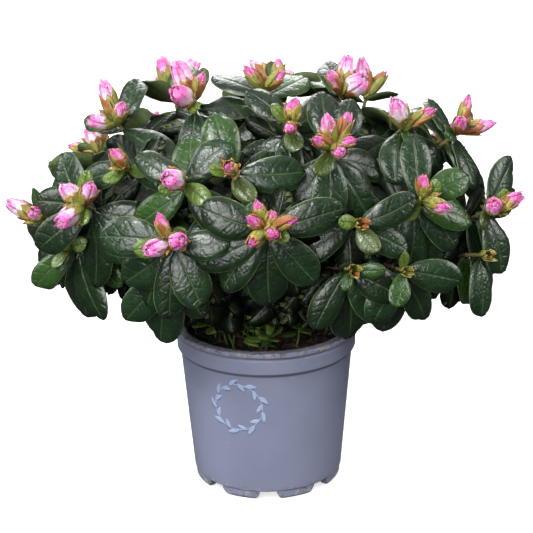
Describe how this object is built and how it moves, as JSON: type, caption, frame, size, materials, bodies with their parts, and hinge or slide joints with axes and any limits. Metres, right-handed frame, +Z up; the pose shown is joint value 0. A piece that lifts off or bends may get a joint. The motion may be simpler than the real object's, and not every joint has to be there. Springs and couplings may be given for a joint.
{
  "type": "potted azalea in bud",
  "caption": "Low rounded azalea with dark oval leaves and half-open buds, rooted in potting soil in a tapered round nursery pot with a stepped collar and a notched foot.",
  "frame": {"origin": "middle of the pot's underside, on the ground it stands on", "axes": "+Z up the stem, -Y towards the side with the printed wreath, +X to the right as seen from that side"},
  "size_m": [0.3286, 0.2894, 0.2875],
  "materials": {
    "pot_plastic": "matte blue-grey moulded polypropylene with a little dried soil on its ledge and foot",
    "soil": "moist dark peat with fibres and bark crumbs",
    "bark": "thin reddish-brown bark with fine lengthwise cracks",
    "foliage": "leathery dark green leaves, glossy above with sunken veins and matte olive below, and pink and white buds in green and rusty bracts",
    "sprig": "soft yellow-green young leaves"
  },
  "bodies": {
    "root": {"pot": "pot_plastic", "potting_soil": "soil", "main_stem": "bark", "bough_front_centre": "bark", "bough_front_left": "bark", "bough_left_front": "bark", "bough_upper_left": "bark", "bough_centre_left": "bark", "bough_top_left": "bark", "bough_top_centre": "bark", "bough_centre_right": "bark", "bough_top_right": "bark", "bough_right_top": "bark", "bough_right_front": "bark", "bough_right_side": "bark", "bough_back_1": "bark", "bough_back_2": "bark", "bough_back_3": "bark", "bough_back_4": "bark", "bough_back_5": "bark", "bough_back_6": "bark", "foliage_front_centre": "foliage", "foliage_front_left": "foliage", "foliage_left_front": "foliage", "foliage_upper_left": "foliage", "foliage_centre_left": "foliage", "foliage_top_left": "foliage", "foliage_top_centre": "foliage", "foliage_centre_right": "foliage", "foliage_top_right": "foliage", "foliage_right_top": "foliage", "foliage_right_front": "foliage", "foliage_right_side": "foliage", "foliage_back_1": "foliage", "foliage_back_2": "foliage", "foliage_back_3": "foliage", "foliage_back_4": "foliage", "foliage_back_5": "foliage", "foliage_back_6": "foliage", "sprig_1": "sprig", "sprig_2": "sprig", "sprig_3": "sprig", "sprig_4": "sprig", "sprig_5": "sprig"}
  },
  "joints": []
}
